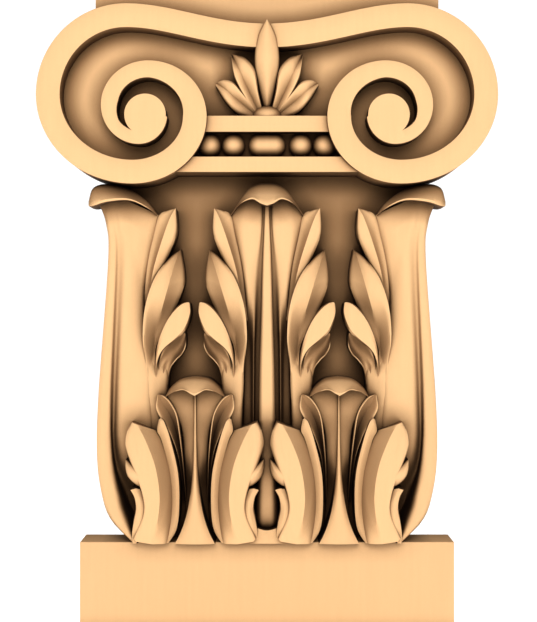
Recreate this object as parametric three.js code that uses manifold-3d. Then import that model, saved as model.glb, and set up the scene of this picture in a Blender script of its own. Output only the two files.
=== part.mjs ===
// A carved pilaster capital with two volutes, a palmette, a bead-and-reel row and acanthus
// leaves, standing on the plain top of its shaft. Millimetres, +Z up, the face towards -Y, the
// origin in the middle of the shaft's underside. Each piece is drawn with its flat back on the
// plane Y = 0 and then set back by half the shaft's depth.

import * as THREE from 'three';
import Module from 'manifold-3d';
import { mergeVertices } from 'three/addons/utils/BufferGeometryUtils.js';

// Driving dimensions. A "height" below is a distance forward from the flat back.
const SHAFT = { width: 240, rise: 60, height: 31 };
const JOINT_GAP = 0.3;
const SLAB = { halfWidth: 110.5, bottom: 300, top: 424, height: 26 };
const PALE_TAN = 0xe6bd8c;
const FLOOR_HEIGHT = 6;
const GROUND_HEIGHT = 9.5;
const CHANNEL_HEIGHT = 27.5;
const BAND = { height: 45, width: 15.2, innerWidth: 10.9, endWidth: 8.4 };
const BAND_DIP = 389.7;
const BAND_CREST = { x: -89, z: 402.5 };
// Reach across and up of each quarter turn of the scroll, from its crest to its eye.
const SCROLL_QUARTERS = [[57, 57.5], [61, 56.5], [47, 42.5], [37, 35.5], [30, 28], [24, 25], [18, 18.5]];
const NARROWING_QUARTER = 3;
const TAPERING_QUARTER = 4.9;
const EYE = { x: -77, z: 332.2, radius: 13.1, steps: 24 };
const BEAD_BED = { halfWidth: 46, height: 29 };
const BAR = { height: 42, upper: [321.7, 331.7], lower: [296.2, 305.8], upperHalf: 44, lowerHalf: 60 };
const BEAD = { radius: 7.45, z: 313.7, height: 33, offsets: [21.4, 36.6] };
const REEL_LENGTH = 24;
const CENTRAL_AXIS = 0;
const CORNER_AXIS = 92.5;
const LOWER_AXIS = 45.8;
const ROWS_PER_PLACE = 1.3;
const STEM_ROWS = 9;
const SHOWN_SWELL = 0.12;
const ARC_STEPS = 7;
const BELL_STEPS = 14;

// Every leaf is carved over lines that run side by side from root to tip. A line holds the few
// places it passes through, as x from the leaf's axis, z and height. Between two lines the surface
// swells by a share of their distance, or hollows where that share is negative. Where a leaf has
// no swell the surface flows across its lines.
const UPPER_LOBES = [
  {
    lines: [
      [[14, 202, 24], [20, 224.5, 30.4], [28.6, 242, 32], [34.6, 258, 32.4], [34.2, 272.6, 31.4]],
      [[14, 202, 26], [19.2, 232, 32.5], [24.6, 251, 33.6], [30.2, 267, 33.4], [33.8, 274, 31.6]],
      [
        [12.4, 202, 26], [15.6, 236, 29.6], [20, 258, 29.8],
        [23.4, 269.8, 30.4], [28.4, 272.6, 30.6], [33.4, 273.9, 30.5],
      ],
    ],
    swell: [0.03, -0.13],
  },
  {
    lines: [
      [
        [20.6, 156, 29.6], [20.8, 172, 30.8], [21.6, 186, 31.3], [30, 202, 30],
        [38.4, 222, 29], [39.4, 233, 29.5], [37.1, 247.2, 31],
      ],
      [
        [18.4, 156, 30], [18.6, 171, 30.5], [19.4, 184, 28.8], [22.6, 200, 29.4],
        [27.8, 218, 35.2], [33.2, 236, 37.6], [37, 247.8, 32.4],
      ],
      [
        [15.6, 156, 30], [14.5, 174, 31.8], [12.9, 192, 34], [14.8, 212, 34.5],
        [21, 230, 34.5], [30, 242, 33], [36.9, 247.4, 31],
      ],
    ],
    swell: [-0.06, -0.02],
  },
  {
    lines: [
      [
        [21.8, 164, 31], [22.2, 174.6, 33], [26, 183, 36.6], [35.3, 190.6, 37.6],
        [40.4, 196, 37.6], [43.8, 206, 37], [43.2, 213, 36.4],
      ],
      [
        [21.4, 164, 31], [21.6, 176, 34], [25, 188, 37.6],
        [32, 199, 38], [39.4, 208, 38], [42.6, 213.6, 36.6],
      ],
      [
        [21, 164, 31], [21, 177, 33], [23.4, 190, 36.4], [28.4, 202, 37.4],
        [34, 209.6, 37.6], [38.4, 213, 37.4], [41.6, 213.7, 36.4],
      ],
    ],
    swell: [0.02, 0.02],
  },
  {
    lines: [
      [
        [28.6, 158, 29.8], [30.3, 170.4, 31.2], [34, 176.4, 32.2],
        [38, 180.4, 32.6], [40.3, 185.5, 33], [40.4, 192, 34],
      ],
      [
        [25.4, 158, 30], [26.6, 172, 31], [30.2, 178.2, 28.4],
        [34, 183.2, 27.4], [37.6, 187.6, 29], [40.2, 193, 34],
      ],
      [
        [22, 158, 30.4], [23, 173.6, 31.8], [26.4, 183.6, 35.4],
        [31.4, 189, 37], [36.4, 192.6, 37.3], [40, 194.4, 36],
      ],
    ],
    swell: [-0.34, -0.34],
  },
  {
    lines: [
      [[30.5, 108, 26], [28.8, 146, 30], [28.9, 159, 30.8], [29, 169, 30.2], [27.4, 181, 26.5]],
      [[23, 108, 29], [22.4, 146, 32], [22.2, 159, 31.8], [21.8, 172, 30.4], [21.4, 188, 26]],
      [[16.6, 108, 28], [15.7, 146, 31], [15.1, 160, 31.6], [14.9, 172, 31], [14.4, 188, 28.5]],
    ],
    swell: [0.03, 0.03],
  },
];
const LOWER_LOBES = [
  {
    lines: [
      [
        [6.6, 84, 14], [7.6, 110, 28.5], [9.4, 130, 35],
        [11.6, 143, 36.6], [17, 152.4, 37.5], [22.8, 155.2, 36.5],
      ],
      [
        [7.2, 84, 14], [8.4, 110, 29], [10.3, 130, 35.6],
        [12.6, 142.6, 37.2], [17.8, 151.4, 38], [23, 155, 37],
      ],
      [
        [7.8, 84, 13], [9.2, 110, 25.5], [12.4, 129, 29],
        [16.4, 141, 31.2], [20.6, 148.4, 33.6], [23.4, 154.8, 36.4],
      ],
      [
        [8.2, 84, 18], [10.6, 112, 31], [15.6, 128.4, 34.6],
        [21, 138, 36.4], [24.8, 146, 37.6], [24.2, 154.4, 37],
      ],
    ],
    swell: [0.1, -0.1, -0.08],
  },
  {
    lines: [
      [
        [16.8, 60.3, 37], [11.6, 69, 36.6], [9.9, 84, 36.2], [10.7, 105, 36.2],
        [15.6, 126.5, 36.8], [19, 136.8, 37.6], [21, 139.4, 37],
      ],
      [
        [19.2, 60.3, 38], [13.8, 70, 37], [12, 85, 36.6], [13, 106, 36.8],
        [18, 126, 37.4], [21.6, 135.6, 38], [21.8, 139.8, 37.4],
      ],
      [
        [22.9, 60.3, 38], [17.2, 71, 36.6], [15.3, 86, 36], [16.8, 106, 36.2],
        [21.6, 125, 36.8], [24.4, 131.4, 37.4], [23.2, 138.8, 37],
      ],
    ],
    swell: [0.02, 0.02],
  },
  {
    lines: [
      [
        [18.6, 60.3, 40.4], [13.8, 75, 35.2], [12, 90, 32.6],
        [14, 108, 33], [19, 125, 34], [23.8, 131.6, 36.4],
      ],
      [
        [27, 60.3, 41.5], [23.2, 76, 45.4], [21.9, 92, 46.6],
        [24.6, 110, 47], [30.6, 126, 46.4], [36.2, 136.4, 44.6],
      ],
      [[37, 62, 42], [30.5, 80, 45], [31, 97, 46.5], [35, 116, 47], [38.6, 137.4, 45]],
      [
        [39, 64, 41.5], [32.4, 82, 43.5], [34, 95.5, 45], [40.8, 113.4, 45],
        [43.6, 123, 45], [42.7, 131.4, 45], [39.9, 137.8, 43.5],
      ],
    ],
    swell: [0, 0.02, 0.04],
  },
  {
    lines: [
      [[29, 104, 46], [34, 107.6, 46], [39, 110.6, 44], [43.6, 114.2, 41]],
      [[28, 99, 46], [36, 102.6, 46.2], [41, 107.4, 45], [43.9, 114, 41.5]],
      [[30, 95.2, 43], [36.8, 97.8, 43], [42, 102.6, 42.6], [43.9, 108, 42], [44.2, 113.8, 40]],
    ],
    swell: [0.06, 0.08],
  },
  {
    lines: [
      [[37, 60.3, 38.6], [35.6, 65, 41], [32.2, 76, 43], [31, 86, 43.5], [34.2, 95.3, 43]],
      [[38.4, 60.3, 38.8], [37.8, 67, 40.8], [35.2, 78, 43.5], [34.4, 88, 44], [37.4, 95.8, 43]],
      [
        [39.8, 60.3, 38.8], [40, 67, 39.8], [38.8, 75.4, 41],
        [37.4, 83, 42], [38.4, 90, 42.5], [41, 94.6, 42],
      ],
    ],
    swell: [0.03, 0.03],
  },
];
const PALMETTE_LEAVES = [
  {
    lines: [
      [[7.4, 334, 36], [15, 345, 39.6], [21, 357.4, 41], [22.8, 371, 37]],
      [[5.4, 335, 35], [12.2, 349.6, 38], [17.6, 361, 40], [22.6, 371.6, 35]],
      [[2.6, 336, 36], [5.6, 348, 41], [7.6, 360.4, 43], [13, 367.8, 41.6], [22.2, 371.8, 36]],
    ],
    swell: [0.06, 0.1],
  },
  {
    lines: [
      [[8, 331, 35], [18, 333.6, 38], [26.6, 341.6, 40], [32.8, 351.6, 36]],
      [[8, 333.6, 35], [17, 341, 37], [25, 348, 39], [32.4, 353.4, 35]],
      [[7, 336.4, 36], [15.4, 346.4, 40], [21.6, 353.2, 41], [28, 355.2, 39], [31.8, 353.9, 36]],
    ],
    swell: [0.1, 0.08],
  },
];
const PALMETTE_CENTRE = {
  edge: [[1.4, 336, 33], [5.2, 350, 38.6], [7.8, 366, 44], [6, 381, 45.6], [0.5, 391.6, 46.5]],
  crest: [[0, 336, 34], [0, 350, 41.5], [0, 366, 48.2], [0, 381, 48.8], [0, 392, 47.2]],
};
const PALMETTE_BUTTON = { z: 331.7, halfWidth: 9.5, radius: 7.4, height: 34 };

// Curled lips, from their outer end in to their middle: along the crown, then along the brim.
const UPPER_LIP = {
  lines: [
    [[23.3, 269.9, 30.5], [18.6, 277, 33], [12.2, 285.8, 33.5], [5.8, 289.4, 33.5], [0, 290, 33.5]],
    [[22.9, 269.2, 31.5], [17, 276.2, 39], [9.6, 279, 43.5], [4.2, 276.3, 44.5], [0, 274.8, 45]],
  ],
  swell: [0.05],
};
const LOWER_LIP = {
  lines: [
    [[19, 153.8, 37], [15.6, 159.4, 37], [9, 164.6, 37.5], [0, 166, 37.5]],
    [[18.6, 153.4, 38.5], [12.6, 157, 44.5], [7, 158.2, 46.5], [2.6, 156, 47], [0, 154.6, 47.5]],
  ],
  swell: [0.08],
};
const CORNER_LIP = {
  lines: [
    [
      [70.4, 270, 30.5], [77, 278.4, 32], [88, 286, 33],
      [102, 289.4, 34], [111.4, 287, 32], [114.8, 279, 28],
    ],
    [
      [70.8, 269.3, 31.5], [77, 274.2, 38], [87.5, 278.3, 43],
      [101, 277.4, 43.5], [110.4, 275, 40], [114.4, 275.4, 31],
    ],
  ],
  swell: [0.06],
};

const UPPER_MIDRIB = {
  edge: [
    [0.8, 67.6, 26], [6, 71.6, 31], [6.8, 84, 33], [5.7, 110, 33.4], [5.2, 148, 31.6],
    [4.9, 172, 30.4], [3.9, 206, 30], [2.9, 245, 29.8], [1.4, 276, 29.6],
  ],
  crest: [
    [0, 67.4, 29], [0, 72, 34], [0, 84, 36.4], [0, 110, 36.8], [0, 148, 34],
    [0, 172, 32.4], [0, 206, 31.4], [0, 245, 31], [0, 277, 30.2],
  ],
};
const LOWER_MIDRIB = { top: 157, bottom: 60, head: 0.6, foot: 13, spread: 0.052, heights: [36.5, 37, 42] };
const UPPER_BODY = {
  lines: [
    [
      [0.4, 110, 20], [0.4, 176, 20.5], [0.4, 196, 22], [0.4, 214, 25],
      [0.4, 236, 27.6], [0.4, 262, 28.6], [0.4, 284, 26],
    ],
    [
      [7.4, 110, 20], [7, 176, 21], [6.2, 196, 22.8], [5.4, 214, 25.8],
      [4.2, 236, 28.3], [2.8, 262, 29.4], [2.4, 284, 26],
    ],
    [
      [8.9, 110, 24], [8.6, 176, 24.6], [8.4, 196, 26.4], [8, 214, 28.5],
      [7.3, 236, 30.1], [5, 262, 31], [5, 284, 27.5],
    ],
    [
      [11, 110, 20], [11, 176, 20.5], [11.6, 196, 23], [11.8, 214, 29],
      [13, 236, 31.2], [15.4, 262, 31.9], [14, 279, 29.4],
    ],
    [
      [16, 110, 19], [14.8, 176, 19.5], [14.4, 196, 20.6], [13.6, 214, 28],
      [16.2, 236, 30], [21, 258, 29.8], [23, 269.6, 29.6],
    ],
  ],
};
const LOWER_BODY = {
  lines: [
    [[0, 62, 14], [0, 90, 19], [0, 104, 28.6], [0, 115, 31], [0, 135, 33], [0, 159, 34]],
    [[4, 62, 12], [3.4, 90, 17], [3.4, 104, 26.6], [3.6, 115, 30.4], [5, 135, 31], [8.6, 160, 33]],
    [[9, 62, 12], [7.2, 90, 14], [7.2, 104, 22], [7.6, 115, 27.6], [9.8, 135, 30], [18.6, 153.6, 35.5]],
  ],
};
const FOOT_WEB = {
  lines: [
    [[-20, 60.3, 38.6], [-20, 72, 38.6]],
    [[-9, 60.3, 39.4], [-9, 70.8, 39.2]],
    [[0, 60.3, 39.6], [0, 68.6, 39]],
    [[9, 60.3, 39.4], [9, 70.8, 39.2]],
    [[20, 60.3, 38.6], [20, 72, 38.6]],
  ],
};
// The bell behind the leaves, up its right side.
const BELL_SIDE = [[84, 60.3], [97.5, 72.5], [110.4, 117], [106, 195], [101.4, 246], [107, 276]];
const BELL_TOP = { halfWidth: 90, z: 300 };
// A corner leaf's body, from its rolled outer band over a groove to its first lobe, foot to lip.
const CORNER_BODY = {
  lines: [
    [
      [85.4, 60.3, 36], [100.2, 74, 30.4], [106.2, 90, 29.6], [109.4, 115, 29.4],
      [108.4, 155, 29.4], [102.2, 240, 29.4], [103.6, 264, 28.4], [108.8, 278, 26],
    ],
    [
      [84.6, 60.3, 37.8], [96.4, 73.4, 34.4], [102.2, 89, 32.4], [105.4, 115, 31.4],
      [105.2, 155, 31.4], [100.4, 240, 31], [101.8, 264, 30.6], [105, 279, 28],
    ],
    [
      [84, 60.3, 38.6], [88.4, 73, 34.6], [94, 88.6, 31.8], [99.4, 115, 31],
      [100.8, 155, 31.2], [97.4, 240, 31.2], [99, 263, 31], [102, 280, 29],
    ],
    [
      [83.3, 60.3, 38], [86.4, 73, 14], [92.8, 89, 11], [98.6, 115, 23],
      [98.2, 155, 28], [94.8, 240, 30.2], [96.4, 262, 31], [99, 280, 29.4],
    ],
    [
      [82.6, 60.3, 37.4], [82.8, 73, 10], [84.6, 89, 9.4], [91.6, 115, 28],
      [92.6, 155, 31.4], [89, 240, 31.7], [91, 262, 31.8], [93, 280, 29.4],
    ],
    [
      [82, 60.3, 36], [76, 73, 9], [75, 89, 9.4], [74, 115, 29],
      [74, 155, 32], [78.9, 214, 28.8], [75.4, 243, 29.6], [69.4, 269.6, 29.6],
    ],
  ],
};

const wasm = await Module();
wasm.setup();

function signedVolume(positions, triangles) {
  const corner = (i) => new THREE.Vector3().fromArray(positions, 3 * i);
  let sum = 0;
  for (let t = 0; t < triangles.length; t += 3) {
    const [a, b, c] = [corner(triangles[t]), corner(triangles[t + 1]), corner(triangles[t + 2])];
    sum += a.dot(b.cross(c));
  }
  return sum / 6;
}

// A closed geometry as a solid, with its faces turned outward if a mirror turned them in.
function solid(geometry) {
  geometry.deleteAttribute('normal');
  geometry.deleteAttribute('uv');
  const merged = mergeVertices(geometry, 1e-4);
  const positions = merged.attributes.position.array;
  const index = merged.index.array;
  const triangles = [];
  for (let t = 0; t < index.length; t += 3) {
    const [a, b, c] = [index[t], index[t + 1], index[t + 2]];
    if (a !== b && b !== c && c !== a) triangles.push(a, b, c);
  }
  if (signedVolume(positions, triangles) < 0) triangles.reverse();
  return new wasm.Manifold(new wasm.Mesh({
    numProp: 3,
    vertProperties: new Float32Array(positions),
    triVerts: new Uint32Array(triangles),
  }));
}

function union(solids) {
  return solids.reduce((whole, piece) => whole.add(piece));
}

// Both hands of a piece drawn on the -X side.
function pair(geometry) {
  return [solid(geometry.clone()), solid(geometry.clone().scale(-1, 1, 1))];
}

// A flat outline in X and Z, raised from one height to another.
function raised(outline, from, to) {
  const geometry = new THREE.ExtrudeGeometry(new THREE.Shape(outline), {
    depth: to - from,
    bevelEnabled: false,
  });
  return geometry.translate(0, 0, from).rotateX(Math.PI / 2);
}

function block(left, right, bottom, top, height) {
  const geometry = new THREE.BoxGeometry(right - left, height, top - bottom);
  return geometry.translate((left + right) / 2, -height / 2, (bottom + top) / 2);
}

// A place on the smooth curve through a few places, as a cubic between neighbours.
function spline(places, u) {
  const reach = u * (places.length - 1);
  const i = Math.min(Math.floor(reach), places.length - 2);
  const t = reach - i;
  const near = (k) => places[THREE.MathUtils.clamp(k, 0, places.length - 1)];
  const [before, from, to, after] = [near(i - 1), near(i), near(i + 1), near(i + 2)];
  return from.map((b, axis) => {
    const [a, c, d] = [before[axis], to[axis], after[axis]];
    const bend = (a - 2.5 * b + 2 * c - 0.5 * d) * t ** 2;
    return b + 0.5 * (c - a) * t + bend + (1.5 * (b - c) + 0.5 * (d - a)) * t ** 3;
  });
}

// A closed piece under a carved surface: surface(u, v) gives [x, z, height] for u and v in 0..1.
// The rows along u close up towards its far end, where a leaf rounds into its tip.
function carved(surface, rows, acrossStops) {
  const stride = acrossStops.length;
  const positions = [];
  for (const level of ['face', 'floor']) {
    for (let i = 0; i <= rows; i += 1) {
      for (const v of acrossStops) {
        const [x, z, height] = surface(Math.sin((Math.PI / 2) * (i / rows)), v);
        positions.push(x, level === 'face' ? -height : -FLOOR_HEIGHT, z);
      }
    }
  }
  const below = (rows + 1) * stride;
  const faces = [];
  const quad = (a, b, c, d) => faces.push(a, b, c, a, c, d);
  for (let i = 0; i < rows; i += 1) {
    for (let j = 0; j < stride - 1; j += 1) {
      const a = i * stride + j;
      quad(a, a + 1, a + stride + 1, a + stride);
      quad(below + a, below + a + stride, below + a + stride + 1, below + a + 1);
    }
  }
  const wall = (a, b) => quad(b, a, below + a, below + b);
  for (let i = 0; i < rows; i += 1) {
    wall((i + 1) * stride, i * stride);
    wall(i * stride + stride - 1, (i + 1) * stride + stride - 1);
  }
  for (let j = 0; j < stride - 1; j += 1) {
    wall(j, j + 1);
    wall(rows * stride + j + 1, rows * stride + j);
  }
  const geometry = new THREE.BufferGeometry();
  geometry.setAttribute('position', new THREE.Float32BufferAttribute(positions, 3));
  geometry.setIndex(faces);
  return geometry;
}

// A piece carved over a leaf's lines. It has an edge along each line, and one midway between two
// lines where the surface swells or hollows enough to show.
function leafed({ lines, swell }, axis, side) {
  const gaps = lines.length - 1;
  const stops = [0];
  for (let gap = 0; gap < gaps; gap += 1) {
    if (swell && Math.abs(swell[gap]) > SHOWN_SWELL) stops.push((gap + 0.5) / gaps);
    stops.push((gap + 1) / gaps);
  }
  const rows = Math.round(ROWS_PER_PLACE * Math.max(...lines.map((line) => line.length)));
  return carved((u, v) => {
    const places = lines.map((line) => spline(line, u));
    if (!swell) {
      const [x, z, height] = spline(places, v);
      return [axis + side * x, z, height];
    }
    const gap = Math.min(Math.floor(v * gaps), gaps - 1);
    const t = v * gaps - gap;
    const [from, to] = [places[gap], places[gap + 1]];
    const [x, z, height] = from.map((value, k) => THREE.MathUtils.lerp(value, to[k], t));
    const width = Math.hypot(to[0] - from[0], to[1] - from[1]);
    return [axis + side * x, z, height + swell[gap] * width * 4 * t * (1 - t)];
  }, rows, stops);
}

// A rib or a leaf that is the same to either side of its crest.
function ribbed({ edge, crest }, axis) {
  const mirrored = edge.map(([x, z, height]) => [-x, z, height]);
  return leafed({ lines: [mirrored, crest, edge] }, axis, 1);
}

function along([start, middle, end], u) {
  return (1 - u) ** 2 * start + 2 * u * (1 - u) * middle + u ** 2 * end;
}

// A lower leaf's midrib, hair-thin under its lip and flaring to its foot.
function stem(rib, axis) {
  const length = rib.top - rib.bottom;
  return carved((u, v) => {
    const across = 2 * v - 1;
    const grown = Math.exp(-rib.spread * length * (1 - u));
    const half = rib.head + (rib.foot - rib.head) * grown;
    return [axis + half * across, rib.top - length * u, along(rib.heights, u) - 2 * across ** 2];
  }, STEM_ROWS, [0, 0.5, 1]);
}

// The outer edge of the left half of the band: a swept bridge, then the scroll's quarter turns.
function bandRail() {
  const bridge = new THREE.CubicBezierCurve(
    new THREE.Vector2(0.5, BAND_DIP),
    new THREE.Vector2(-35, BAND_DIP),
    new THREE.Vector2(-60, BAND_CREST.z),
    new THREE.Vector2(BAND_CREST.x, BAND_CREST.z),
  );
  const rail = [];
  for (let i = 0; i < ARC_STEPS; i += 1) {
    const t = i / ARC_STEPS;
    rail.push({ point: bridge.getPoint(t), heading: bridge.getTangent(t), turn: -1 });
  }
  const at = new THREE.Vector2(BAND_CREST.x, BAND_CREST.z);
  const heading = new THREE.Vector2(-1, 0);
  SCROLL_QUARTERS.forEach(([across, up], turn) => {
    const inward = new THREE.Vector2(-heading.y, heading.x);
    const [ahead, aside] = turn % 2 === 0 ? [across, up] : [up, across];
    for (let i = 0; i < ARC_STEPS; i += 1) {
      const angle = (Math.PI / 2) * (i / ARC_STEPS);
      const point = at.clone();
      point.addScaledVector(heading, ahead * Math.sin(angle));
      point.addScaledVector(inward, aside * (1 - Math.cos(angle)));
      const tangent = heading.clone().multiplyScalar(ahead * Math.cos(angle));
      tangent.addScaledVector(inward, aside * Math.sin(angle)).normalize();
      rail.push({ point, heading: tangent, turn: turn + i / ARC_STEPS });
    }
    at.addScaledVector(heading, ahead).addScaledVector(inward, aside);
    heading.copy(inward);
  });
  return rail;
}

// The band narrows inside the scroll and tapers at its end.
function bandWidth(turn) {
  const narrowed = THREE.MathUtils.clamp(turn - NARROWING_QUARTER, 0, 1);
  const tapered = THREE.MathUtils.clamp(2 * (turn - TAPERING_QUARTER), 0, 1);
  const width = THREE.MathUtils.lerp(BAND.width, BAND.innerWidth, narrowed);
  return THREE.MathUtils.lerp(width, BAND.endWidth, tapered);
}

function volutes() {
  const rail = bandRail();
  const inner = rail.map(({ point, heading, turn }) => {
    const inward = new THREE.Vector2(-heading.y, heading.x);
    return point.clone().addScaledVector(inward, bandWidth(turn));
  });
  const band = rail.map(({ point }) => point).concat(inner.reverse());
  const eye = new THREE.CylinderGeometry(EYE.radius, EYE.radius, BAND.height - FLOOR_HEIGHT, EYE.steps);
  eye.translate(EYE.x, -(BAND.height + FLOOR_HEIGHT) / 2, EYE.z);
  const padEdge = rail.filter(({ turn }) => turn < 3).map(({ point }) => point);
  const lowerCorner = new THREE.Vector2(0.5, BAR.upper[0]);
  const pad = raised(padEdge.concat([lowerCorner]), 0, CHANNEL_HEIGHT);
  return union([
    ...pair(pad),
    ...pair(raised(band, FLOOR_HEIGHT, BAND.height)),
    ...pair(eye),
  ]);
}

function beadRow() {
  const pieces = [
    block(-BEAD_BED.halfWidth, BEAD_BED.halfWidth, BAR.lower[0], BAR.upper[1], BEAD_BED.height),
    block(-BAR.lowerHalf, BAR.lowerHalf, ...BAR.lower, BAR.height),
    block(-BAR.upperHalf, BAR.upperHalf, ...BAR.upper, BAR.height),
  ];
  for (const offset of BEAD.offsets) {
    for (const x of [-offset, offset]) {
      const bead = new THREE.SphereGeometry(BEAD.radius, 10, 5);
      pieces.push(bead.translate(x, -BEAD.height, BEAD.z));
    }
  }
  const reel = new THREE.CapsuleGeometry(BEAD.radius, REEL_LENGTH - 2 * BEAD.radius, 3, 10);
  pieces.push(reel.rotateZ(Math.PI / 2).translate(0, -BEAD.height, BEAD.z));
  return union(pieces.map(solid));
}

function palmette() {
  const pieces = [ribbed(PALMETTE_CENTRE, CENTRAL_AXIS)];
  for (const side of [-1, 1]) {
    PALMETTE_LEAVES.forEach((leaf) => pieces.push(leafed(leaf, CENTRAL_AXIS, side)));
  }
  const button = new THREE.SphereGeometry(PALMETTE_BUTTON.radius, 14, 8);
  button.scale(PALMETTE_BUTTON.halfWidth / PALMETTE_BUTTON.radius, 1, 1);
  pieces.push(button.translate(0, -PALMETTE_BUTTON.height, PALMETTE_BUTTON.z));
  return union(pieces.map(solid));
}

function bell() {
  const rises = Array.from({ length: BELL_STEPS + 1 }, (_, i) => spline(BELL_SIDE, i / BELL_STEPS));
  const right = rises.map(([x, z]) => new THREE.Vector2(x, z));
  const left = rises.map(([x, z]) => new THREE.Vector2(-x, z)).reverse();
  const { halfWidth, z } = BELL_TOP;
  const top = [new THREE.Vector2(halfWidth, z), new THREE.Vector2(-halfWidth, z)];
  return solid(raised([...right, ...top, ...left], 0, GROUND_HEIGHT));
}

function centralLeaf() {
  const pieces = [ribbed(UPPER_MIDRIB, CENTRAL_AXIS)];
  for (const side of [-1, 1]) {
    for (const shape of [UPPER_BODY, ...UPPER_LOBES, UPPER_LIP]) {
      pieces.push(leafed(shape, CENTRAL_AXIS, side));
    }
  }
  return pieces;
}

function cornerLeaf(side) {
  const lobes = UPPER_LOBES.map((shape) => leafed(shape, side * CORNER_AXIS, -side));
  return [...lobes, leafed(CORNER_BODY, CENTRAL_AXIS, side), leafed(CORNER_LIP, CENTRAL_AXIS, side)];
}

function lowerLeaf(side) {
  const axis = side * LOWER_AXIS;
  const pieces = [stem(LOWER_MIDRIB, axis)];
  for (const hand of [-1, 1]) {
    for (const shape of [LOWER_BODY, ...LOWER_LOBES, LOWER_LIP]) {
      pieces.push(leafed(shape, axis, hand));
    }
  }
  return pieces;
}

function leaves() {
  const pieces = [leafed(FOOT_WEB, CENTRAL_AXIS, 1), ...centralLeaf()];
  for (const side of [-1, 1]) {
    pieces.push(...cornerLeaf(side), ...lowerLeaf(side));
  }
  return union(pieces.map(solid));
}

function capital() {
  const slab = solid(block(-SLAB.halfWidth, SLAB.halfWidth, SLAB.bottom, SLAB.top, SLAB.height));
  const carving = union([slab, bell(), volutes(), beadRow(), palmette(), leaves()]);
  const seat = SHAFT.rise + JOINT_GAP;
  const room = solid(block(-2 * SHAFT.width, 2 * SHAFT.width, seat, 2 * SLAB.top, SHAFT.width));
  const { vertProperties, triVerts } = carving.intersect(room).getMesh();
  const geometry = new THREE.BufferGeometry();
  geometry.setAttribute('position', new THREE.BufferAttribute(vertProperties, 3));
  geometry.setIndex(new THREE.BufferAttribute(triVerts, 1));
  return geometry;
}

function shaftBlock() {
  return block(-SHAFT.width / 2, SHAFT.width / 2, 0, SHAFT.rise, SHAFT.height);
}

function part(name, geometry, colour) {
  const material = new THREE.MeshStandardMaterial({ color: colour, roughness: 0.7, metalness: 0 });
  const mesh = new THREE.Mesh(geometry, material);
  mesh.name = name;
  mesh.position.y = SHAFT.height / 2;
  return mesh;
}

const assembly = new THREE.Group();
assembly.add(part('capital', capital(), PALE_TAN));
assembly.add(part('shaft_block', shaftBlock(), PALE_TAN));

export default assembly;
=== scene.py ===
"""A carved pilaster capital: two volutes with a palmette and a bead-and-reel row between them, over
tall and short acanthus leaves, on the plain top of its shaft. Shapes are drawn in millimetres as x
(to the right), z (up) and a height forward of the flat back, and stored in metres."""
import math

import bmesh
import bpy
from mathutils import Matrix, Vector


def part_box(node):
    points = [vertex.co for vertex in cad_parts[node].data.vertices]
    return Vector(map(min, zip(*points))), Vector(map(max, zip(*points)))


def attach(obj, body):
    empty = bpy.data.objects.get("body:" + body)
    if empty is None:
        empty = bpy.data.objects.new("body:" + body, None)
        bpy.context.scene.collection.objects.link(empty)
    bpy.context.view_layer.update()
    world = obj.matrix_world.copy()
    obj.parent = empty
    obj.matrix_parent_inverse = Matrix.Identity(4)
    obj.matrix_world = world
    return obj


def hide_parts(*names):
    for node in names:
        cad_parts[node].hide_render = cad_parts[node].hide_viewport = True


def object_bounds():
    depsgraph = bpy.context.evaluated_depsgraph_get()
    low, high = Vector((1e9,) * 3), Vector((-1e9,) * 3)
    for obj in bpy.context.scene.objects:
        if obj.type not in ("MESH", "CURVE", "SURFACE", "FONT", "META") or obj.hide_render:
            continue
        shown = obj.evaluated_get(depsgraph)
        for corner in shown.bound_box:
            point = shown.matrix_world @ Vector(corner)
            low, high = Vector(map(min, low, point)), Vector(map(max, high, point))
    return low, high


MM = 0.001
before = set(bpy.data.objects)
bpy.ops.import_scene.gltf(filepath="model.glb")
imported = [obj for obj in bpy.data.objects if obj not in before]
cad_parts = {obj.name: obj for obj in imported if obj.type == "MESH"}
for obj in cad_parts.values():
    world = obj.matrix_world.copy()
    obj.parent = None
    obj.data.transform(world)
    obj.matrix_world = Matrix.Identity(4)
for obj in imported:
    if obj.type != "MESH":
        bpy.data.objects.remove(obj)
cad_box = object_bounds()
shaft_low, shaft_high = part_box("shaft_block")
capital_low, capital_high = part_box("capital")

SHAFT_RISE = (shaft_high[2] - shaft_low[2]) / MM
SHAFT_HALF = (shaft_high[0] - shaft_low[0]) / 2 / MM
SHAFT_HEIGHT = (shaft_high[1] - shaft_low[1]) / MM
SEAT = capital_low[2] / MM
SLAB_TOP = capital_high[2] / MM
BACK = cad_box[1][1] / MM

# Heights forward of the flat back: of the carved pieces' undersides, the bell and the channel.
FLOOR_HEIGHT = 6
GROUND_HEIGHT = 9.5
CHANNEL_HEIGHT = 27.5
SLAB = {"half_width": 110.5, "bottom": 300, "height": 26}
BAND = {"height": 45, "width": 15.2, "inner_width": 10.9, "end_width": 8.4}
# The band's edges are eased by so much, and by a share of it at their middle.
BAND_EASE = 0.5
BAND_EASE_MIDDLE = 0.3
# The bridge between the scrolls runs from its dip to its crest, level at both and drawn out to
# these two x. Its halves overlap a little in the middle.
BAND_DIP = 389.7
BAND_CREST = (-89, 402.5)
BRIDGE_PULLS = (-35, -60)
MIDDLE_OVERLAP = 0.5
# Reach across and up of each quarter turn of the scroll, from its crest to its eye.
SCROLL_QUARTERS = [(57, 57.5), (61, 56.5), (47, 42.5), (37, 35.5), (30, 28), (24, 25), (18, 18.5)]
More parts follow.
